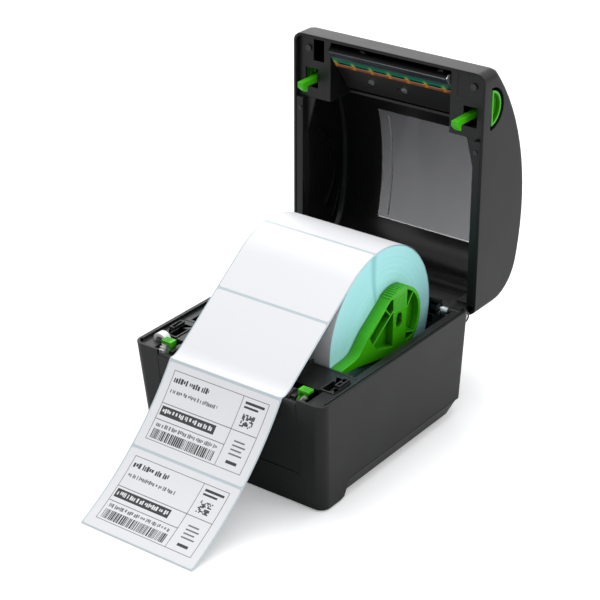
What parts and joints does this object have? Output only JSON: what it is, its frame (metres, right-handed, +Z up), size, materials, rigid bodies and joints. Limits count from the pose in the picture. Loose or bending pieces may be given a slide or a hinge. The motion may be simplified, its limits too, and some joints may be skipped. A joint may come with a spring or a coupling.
{
  "type": "thermal label printer",
  "caption": "Desktop direct thermal label printer with its lid open, a label roll between sliding holders, and a printed strip of labels over the front edge.",
  "frame": {"origin": "on the plane of the rubber feet, under the middle of the box that holds the printer with its lid open and its strip of labels", "axes": "+X to the printer's right as seen from the front, -Y out of its front, +Z up"},
  "size_m": [0.183, 0.3925, 0.293],
  "materials": {
    "case_plastic": "fine matt texture",
    "inner_plastic": "matt",
    "black_plastic": "satin",
    "green_plastic": "satin moulded",
    "rubber": "matt",
    "steel": "bright zinc",
    "white_plastic": "satin",
    "brass": "machined",
    "motor_metal": "satin black",
    "circuit_board": "solder mask",
    "label_paper": "smooth coated",
    "core_card": "wound card",
    "smoky_window": "smoked clear plastic",
    "button_plastic": "satin",
    "status_lens": "translucent",
    "head_aluminium": "extruded",
    "head_glaze": "glazed"
  },
  "bodies": {
    "base": {"lower_case": "case_plastic", "front_bezel": "case_plastic", "front_deck": "inner_plastic", "media_tray": "inner_plastic", "rear_cover": "case_plastic", "bottom_plate": "case_plastic", "rubber_feet": "rubber", "base_screws": "steel", "main_board": "circuit_board", "dc_inlet": "black_plastic", "usb_port": "steel", "switch_housing": "black_plastic", "media_sensor": "black_plastic", "latch_catches": "black_plastic", "light_guide": "white_plastic", "platen_bushes": "white_plastic", "motor_body": "motor_metal", "gear_plate": "steel", "label_strip": "label_paper", "hinge_pins": "steel", "hinge_springs": "steel"},
    "rocker": {"power_rocker": "black_plastic"},
    "platen": {"platen_shaft": "steel", "platen_rubber": "rubber", "platen_gear": "white_plastic"},
    "idler": {"idler_gear": "white_plastic"},
    "double": {"double_gear": "white_plastic"},
    "motor_rotor": {"motor_pinion": "brass"},
    "lever_left": {"release_lever_left": "green_plastic"},
    "lever_right": {"release_lever_right": "green_plastic"},
    "roll": {"label_roll": "label_paper", "roll_core": "core_card"},
    "right_holder": {"holder_right": "green_plastic", "rack_right": "green_plastic", "holder_screw_right": "steel"},
    "left_holder": {"holder_left": "green_plastic", "rack_left": "green_plastic", "holder_screw_left": "steel"},
    "centring": {"centring_pinion": "white_plastic"},
    "lid": {"lid_shell": "case_plastic", "lid_frame": "inner_plastic", "lid_hinges": "inner_plastic", "lid_window": "smoky_window", "lid_screws": "steel", "status_ring": "status_lens", "latch_springs": "steel", "head_springs": "steel"},
    "button": {"feed_button": "button_plastic"},
    "latch": {"latch_shaft": "steel", "latch_hooks": "green_plastic", "release_tabs": "green_plastic"},
    "head": {"head_carrier": "steel", "head_sink": "head_aluminium", "head_ceramic": "head_glaze", "head_cover": "black_plastic", "head_screws": "steel"}
  },
  "joints": [
    {"name": "lid_hinge", "type": "hinge", "parent": "base", "child": "lid", "pos_m": [0, 0.11475, 0.089], "axis": [1, 0, 0], "range_deg": [0, 90], "stiffness_Nm_per_rad": 0.12},
    {"name": "latch_turn", "type": "hinge", "parent": "lid", "child": "latch", "pos_m": [0, 0.15375, 0.254], "axis": [-1, 0, 0], "range_deg": [0, 7], "stiffness_Nm_per_rad": 0.6, "springref_deg": -8.59},
    {"name": "head_float", "type": "slide", "parent": "lid", "child": "head", "axis": [0, 0.8137, 0.5813], "range_m": [0, 0.0012], "stiffness_N_per_m": 2000, "springref_m": -0.002, "deforming": ["head_springs"]},
    {"name": "feed_press", "type": "slide", "parent": "lid", "child": "button", "axis": [0, 0.829, 0.5592], "range_m": [-0.0015, 0], "stiffness_N_per_m": 300, "springref_m": 0.001},
    {"name": "platen_turn", "type": "hinge", "parent": "base", "child": "platen", "pos_m": [0, -0.07425, 0.088], "axis": [1, 0, 0], "continuous": true},
    {"name": "idler_turn", "type": "hinge", "parent": "base", "child": "idler", "pos_m": [0, -0.06896, 0.06954], "axis": [1, 0, 0], "continuous": true},
    {"name": "double_turn", "type": "hinge", "parent": "base", "child": "double", "pos_m": [0, -0.06212, 0.0542], "axis": [1, 0, 0], "continuous": true},
    {"name": "motor_turn", "type": "hinge", "parent": "base", "child": "motor_rotor", "pos_m": [0, -0.04343, 0.04508], "axis": [1, 0, 0], "continuous": true},
    {"name": "lever_left_turn", "type": "hinge", "parent": "base", "child": "lever_left", "pos_m": [0, -0.07425, 0.088], "axis": [1, 0, 0], "range_deg": [0, 40]},
    {"name": "lever_right_turn", "type": "hinge", "parent": "base", "child": "lever_right", "pos_m": [0, -0.07425, 0.088], "axis": [1, 0, 0], "range_deg": [0, 40]},
    {"name": "roll_turn", "type": "hinge", "parent": "base", "child": "roll", "pos_m": [0, 0.04275, 0.096], "axis": [1, 0, 0], "continuous": true},
    {"name": "right_holder_slide", "type": "slide", "parent": "base", "child": "right_holder", "axis": [1, 0, 0], "range_m": [0, 0.012]},
    {"name": "left_holder_slide", "type": "slide", "parent": "base", "child": "left_holder", "axis": [-1, 0, 0], "range_m": [0, 0.012]},
    {"name": "centring_turn", "type": "hinge", "parent": "base", "child": "centring", "pos_m": [0, 0.04275, 0.014], "axis": [0, 0, 1], "range_deg": [-57.5, 0.1]},
    {"name": "rocker_tilt", "type": "hinge", "parent": "base", "child": "rocker", "pos_m": [0, 0.11475, 0.04], "axis": [1, 0, 0], "range_deg": [0, 14]}
  ],
  "couplings": [
    {"joint": "idler_turn", "follows": "platen_turn", "ratio": -0.71429},
    {"joint": "double_turn", "follows": "platen_turn", "ratio": 1.4286},
    {"joint": "motor_turn", "follows": "platen_turn", "ratio": -4.7619},
    {"joint": "left_holder_slide", "follows": "right_holder_slide", "ratio": 1},
    {"joint": "centring_turn", "follows": "right_holder_slide", "rad_per_m": -83.333}
  ]
}
